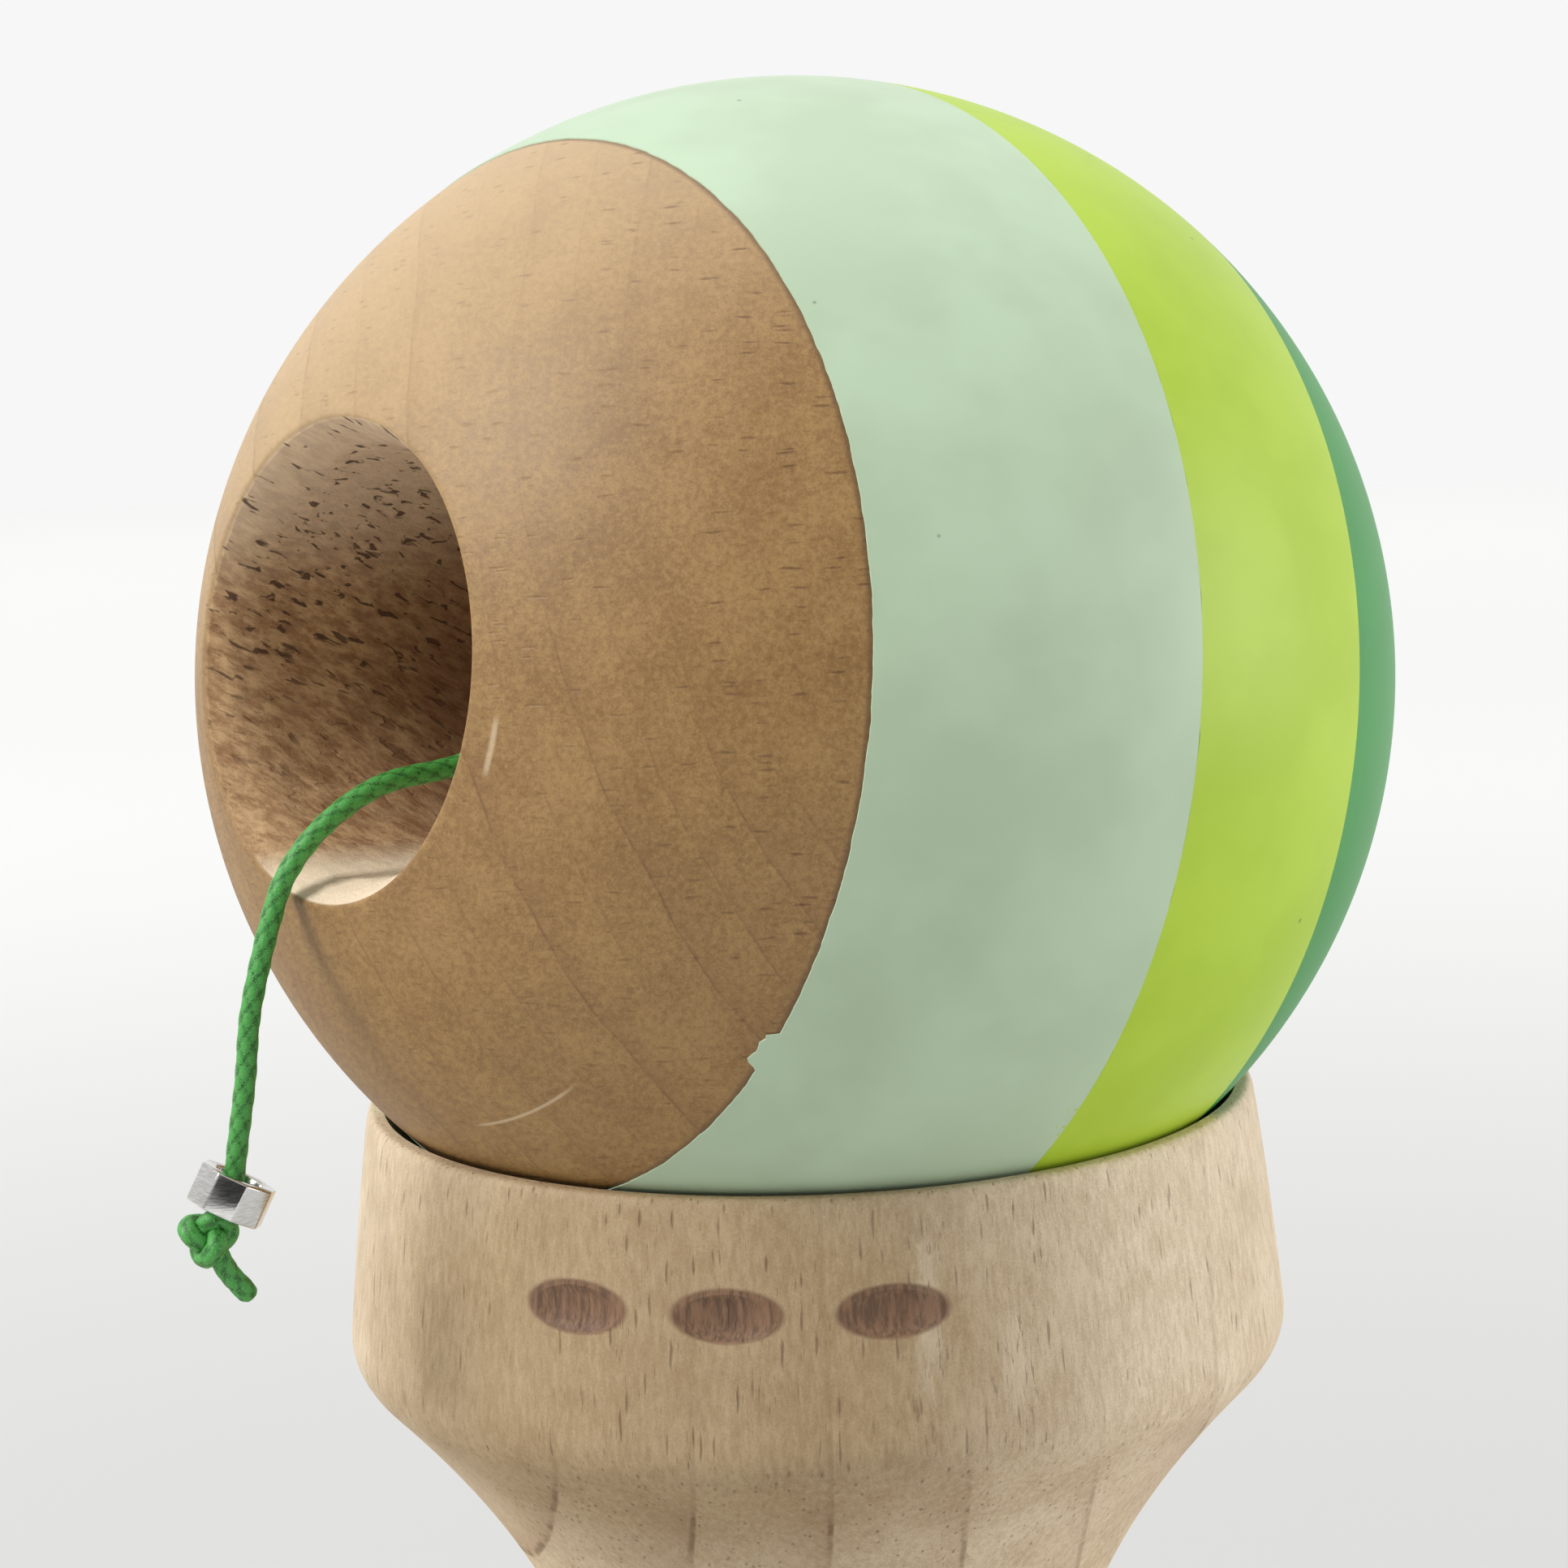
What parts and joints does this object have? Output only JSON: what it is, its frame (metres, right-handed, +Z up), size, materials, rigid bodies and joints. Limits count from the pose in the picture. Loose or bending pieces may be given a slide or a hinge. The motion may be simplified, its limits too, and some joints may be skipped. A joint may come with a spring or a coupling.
{
  "type": "kendama ball-and-cup skill toy",
  "caption": "Wooden ball-and-cup skill toy: turned stick with spike, crosspiece with cups, drilled painted ball on a waxed string with a metal bead.",
  "frame": {"origin": "on the table, under the middle of the stick's length", "axes": "+Z up along the crosspiece, +X along the stick towards the spike's tip"},
  "size_m": [0.165, 0.0734, 0.126],
  "materials": {
    "pale_beech": "bare turned and sanded beech, open pores",
    "ball_beech": "sanded beech under a thin clear seal",
    "mint_paint": "satin lacquer coat",
    "lime_paint": "satin lacquer coat",
    "green_paint": "satin lacquer coat",
    "waxed_string": "braided and waxed",
    "bead_metal": "polished"
  },
  "bodies": {
    "root": {"ken": "pale_beech", "sarado": "pale_beech", "string_coil": "waxed_string", "string_lead": "waxed_string", "anchor_knot": "waxed_string"},
    "string": {"string_tail": "waxed_string", "string_run": "waxed_string", "string_end": "waxed_string", "end_knot": "waxed_string"},
    "tama": {"tama_wood": "ball_beech", "coat_mint": "mint_paint", "coat_lime": "lime_paint", "coat_green": "green_paint"},
    "bead": {"bead": "bead_metal"}
  },
  "joints": [
    {"name": "tama_lift", "type": "slide", "parent": "root", "child": "string", "axis": [0, 0, 1], "range_m": [0, 0.28]},
    {"name": "tama_spin", "type": "hinge", "parent": "string", "child": "tama", "pos_m": [0.0255, 0, 0.09602], "axis": [-0.6795, -0.7173, 0.1545], "continuous": true},
    {"name": "bead_slide", "type": "slide", "parent": "string", "child": "bead", "axis": [0.137, 0.13, 0.982], "range_m": [0, 0.008]}
  ]
}
